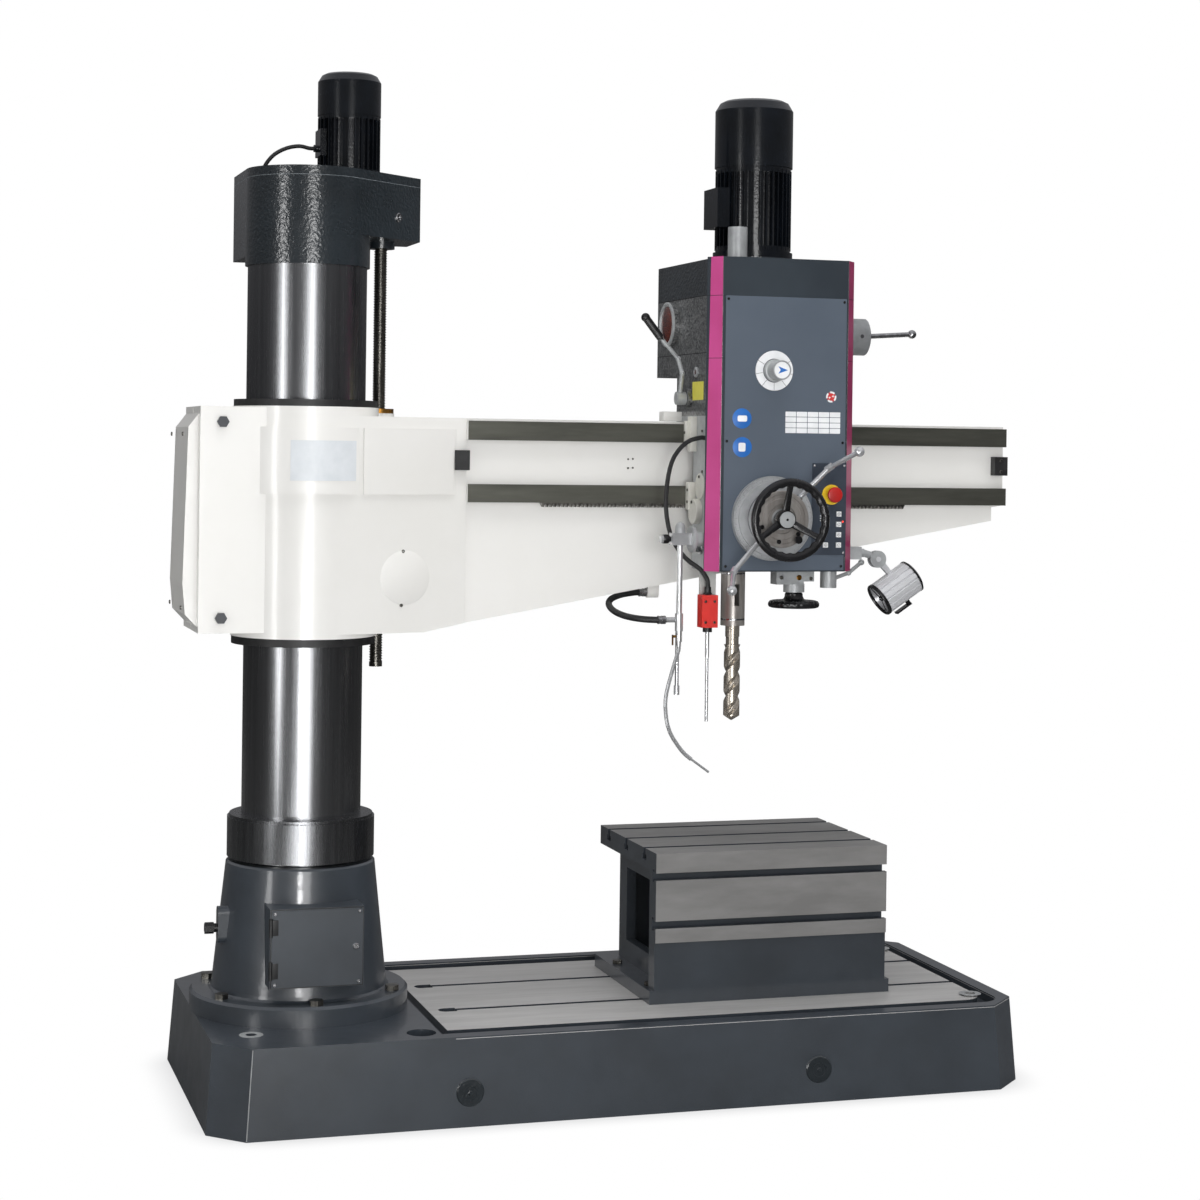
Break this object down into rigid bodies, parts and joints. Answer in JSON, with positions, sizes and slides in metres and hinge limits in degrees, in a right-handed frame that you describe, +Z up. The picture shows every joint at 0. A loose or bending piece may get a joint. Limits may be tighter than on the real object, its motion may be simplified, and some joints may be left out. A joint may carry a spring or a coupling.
{
  "type": "radial arm drill",
  "caption": "Radial arm drilling machine: a drill head travels along an arm that swings and climbs on a column, over a T-slotted base with a box table.",
  "frame": {"origin": "column axis at floor level, on the underside of the base", "axes": "+X along the arm from the column to the drill head, +Y to the back, +Z up"},
  "size_m": [2.596, 1.09, 3.018],
  "materials": {
    "base_paint": "gloss hammered anthracite paint, ground iron on the bed",
    "dark_paint": "gloss charcoal paint",
    "arm_paint": "gloss cream white paint, ground iron on the ways",
    "cover_paint": "satin blue grey paint with magenta flanks",
    "black_paint": "gloss black paint",
    "table_iron": "ground faces, painted lower part",
    "iron": "as cast and turned",
    "bright_steel": "ground and polished",
    "dark_steel": "machined, oiled",
    "gear_steel": "machined",
    "grey_casting": "satin die casting",
    "grey_sheet": "light grey paint",
    "chrome": "bright",
    "bronze": "machined",
    "rubber": "matt",
    "black_plastic": "moulded",
    "red_plastic": "moulded",
    "white_plastic": "moulded"
  },
  "bodies": {
    "base": {"base_casting": "base_paint", "pedestal": "base_paint", "base_bolts": "dark_steel", "terminal_cover": "base_paint", "inner_column": "iron", "column_bearings": "gear_steel", "worktable": "table_iron"},
    "switch_knob": {"main_switch": "black_plastic"},
    "column": {"outer_column": "bright_steel", "column_ring": "bright_steel", "top_housing": "dark_paint", "top_cover": "dark_paint", "lift_motor": "black_paint", "lift_cable": "rubber"},
    "screw": {"lift_screw": "dark_steel", "lift_gear": "gear_steel"},
    "lift_shaft": {"lift_rotor": "gear_steel"},
    "arm": {"arm_casting": "arm_paint", "column_wipers": "rubber", "clamp_bolts": "dark_steel", "side_cover": "grey_sheet", "lift_nut": "bronze", "arm_rack": "dark_steel", "end_stops": "black_plastic", "coolant_hose": "rubber"},
    "head": {"head_casting": "dark_paint", "front_cover": "cover_paint", "control_panel": "cover_paint", "spindle_motor": "black_paint", "motor_cowl": "black_paint", "spindle_guard": "grey_casting", "fine_feed_housing": "grey_casting", "limit_switch": "red_plastic", "switch_cable": "rubber", "coolant_pipe": "chrome", "lamp_mount": "grey_casting"},
    "quill": {"quill": "dark_steel"},
    "spindle": {"spindle": "dark_steel", "drill_bit": "dark_steel"},
    "sleeve": {"spindle_gear": "gear_steel"},
    "rotor": {"spindle_rotor": "gear_steel"},
    "feed_hub": {"feed_hub": "grey_casting", "feed_levers": "chrome"},
    "handwheel": {"handwheel": "black_plastic"},
    "fine_wheel": {"fine_feed_wheel": "black_plastic"},
    "clutch_lever": {"feed_clutch_lever": "grey_casting"},
    "speed_knob": {"speed_knob": "grey_casting"},
    "left_lever": {"gear_lever_left": "grey_casting"},
    "right_lever": {"gear_lever_right": "grey_casting"},
    "estop": {"estop": "red_plastic"},
    "button_1": {"button_1": "white_plastic"},
    "button_2": {"button_2": "white_plastic"},
    "button_3": {"button_3": "white_plastic"},
    "button_4": {"button_4": "white_plastic"},
    "button_5": {"button_5": "white_plastic"},
    "nozzle": {"coolant_nozzle": "chrome"},
    "valve_lever": {"coolant_valve": "bronze"},
    "lamp_arm": {"lamp_arm": "grey_casting"},
    "lamp_head": {"lamp_head": "grey_casting"},
    "trip_rod": {"trip_rod": "chrome"}
  },
  "joints": [
    {"name": "column_swing", "type": "hinge", "parent": "base", "child": "column", "pos_m": [0, 0, 0.7], "axis": [0, 0, 1], "range_deg": [-180, 180]},
    {"name": "main_switch_turn", "type": "hinge", "parent": "base", "child": "switch_knob", "pos_m": [-0.27, -0.06, 0.498], "axis": [1, 0, 0], "range_deg": [0, 90]},
    {"name": "arm_lift", "type": "slide", "parent": "column", "child": "arm", "axis": [0, 0, 1], "range_m": [-0.36, 0.38]},
    {"name": "lift_screw_spin", "type": "hinge", "parent": "column", "child": "screw", "pos_m": [0.25, 0.15, 2], "axis": [0, 0, 1], "continuous": true},
    {"name": "lift_motor_spin", "type": "hinge", "parent": "column", "child": "lift_shaft", "pos_m": [0.142, 0.1185, 2.7], "axis": [0, 0, 1], "continuous": true},
    {"name": "head_travel", "type": "slide", "parent": "arm", "child": "head", "axis": [1, 0, 0], "range_m": [-0.6, 0.5], "deforming": ["coolant_hose"]},
    {"name": "traverse_wheel_turn", "type": "hinge", "parent": "head", "child": "handwheel", "pos_m": [1.34, -0.494, 1.702], "axis": [0, 1, 0], "range_deg": [-1024, 1228.5]},
    {"name": "quill_feed", "type": "slide", "parent": "head", "child": "quill", "axis": [0, 0, -1], "range_m": [0, 0.315]},
    {"name": "feed_lever_turn", "type": "hinge", "parent": "head", "child": "feed_hub", "pos_m": [1.34, -0.4, 1.702], "axis": [0, 1, 0], "range_deg": [-926, 0]},
    {"name": "spindle_spin", "type": "hinge", "parent": "quill", "child": "spindle", "pos_m": [1.264, -0.23, 1.543], "axis": [0, 0, 1], "continuous": true},
    {"name": "sleeve_spin", "type": "hinge", "parent": "head", "child": "sleeve", "pos_m": [1.264, -0.23, 2.203], "axis": [0, 0, 1], "continuous": true},
    {"name": "motor_spin", "type": "hinge", "parent": "head", "child": "rotor", "pos_m": [1.357, -0.10977, 2.543], "axis": [0, 0, 1], "continuous": true},
    {"name": "fine_feed_turn", "type": "hinge", "parent": "head", "child": "fine_wheel", "pos_m": [1.449, -0.26, 1.453], "axis": [0, 0, 1], "continuous": true},
    {"name": "feed_clutch_turn", "type": "hinge", "parent": "head", "child": "clutch_lever", "pos_m": [1.565, -0.25, 1.523], "axis": [0, 0, 1], "range_deg": [0, 45]},
    {"name": "speed_dial_turn", "type": "hinge", "parent": "head", "child": "speed_knob", "pos_m": [1.343, -0.36, 2.142], "axis": [0, 1, 0], "range_deg": [-150, 150]},
    {"name": "left_gear_lever_turn", "type": "hinge", "parent": "head", "child": "left_lever", "pos_m": [1.164, -0.079, 2.06], "axis": [1, 0, 0], "range_deg": [-20, 20]},
    {"name": "right_gear_lever_turn", "type": "hinge", "parent": "head", "child": "right_lever", "pos_m": [1.646, -0.24, 2.254], "axis": [0, 1, 0], "range_deg": [-18, 18]},
    {"name": "estop_press", "type": "slide", "parent": "head", "child": "estop", "axis": [0, 1, 0], "range_m": [0, 0.006]},
    {"name": "button_1_press", "type": "slide", "parent": "head", "child": "button_1", "axis": [0, 1, 0], "range_m": [0, 0.003], "stiffness_N_per_m": 500, "springref_m": -0.001},
    {"name": "button_2_press", "type": "slide", "parent": "head", "child": "button_2", "axis": [0, 1, 0], "range_m": [0, 0.003], "stiffness_N_per_m": 500, "springref_m": -0.001},
    {"name": "button_3_press", "type": "slide", "parent": "head", "child": "button_3", "axis": [0, 1, 0], "range_m": [0, 0.003], "stiffness_N_per_m": 500, "springref_m": -0.001},
    {"name": "button_4_press", "type": "slide", "parent": "head", "child": "button_4", "axis": [0, 1, 0], "range_m": [0, 0.003], "stiffness_N_per_m": 500, "springref_m": -0.001},
    {"name": "button_5_press", "type": "slide", "parent": "head", "child": "button_5", "axis": [0, 1, 0], "range_m": [0, 0.003], "stiffness_N_per_m": 500, "springref_m": -0.001},
    {"name": "nozzle_turn", "type": "hinge", "parent": "head", "child": "nozzle", "pos_m": [1.08, -0.27, 1.323], "axis": [0, 0, 1], "range_deg": [0, 70]},
    {"name": "valve_lever_turn", "type": "hinge", "parent": "head", "child": "valve_lever", "pos_m": [1.07, -0.27, 1.347], "axis": [1, 0, 0], "range_deg": [-90, 0]},
    {"name": "lamp_swivel", "type": "hinge", "parent": "head", "child": "lamp_arm", "pos_m": [1.644, -0.276, 1.596], "axis": [1, 0, 0], "range_deg": [-30, 30]},
    {"name": "lamp_tilt", "type": "hinge", "parent": "lamp_arm", "child": "lamp_head", "pos_m": [1.713, -0.276, 1.577], "axis": [0, 1, 0], "range_deg": [-20, 20]},
    {"name": "trip_rod_tilt", "type": "hinge", "parent": "head", "child": "trip_rod", "pos_m": [1.167, -0.278, 1.366], "axis": [0, 1, 0], "range_deg": [-5, 5], "stiffness_Nm_per_rad": 2}
  ],
  "couplings": [
    {"joint": "lift_screw_spin", "follows": "arm_lift", "rad_per_m": -392.7},
    {"joint": "lift_motor_spin", "follows": "arm_lift", "rad_per_m": 946.05},
    {"joint": "traverse_wheel_turn", "follows": "head_travel", "rad_per_m": -35.714},
    {"joint": "feed_lever_turn", "follows": "quill_feed", "rad_per_m": -51.282},
    {"joint": "sleeve_spin", "follows": "motor_spin", "ratio": -1.7143},
    {"joint": "spindle_spin", "follows": "motor_spin", "ratio": -1.7143}
  ]
}
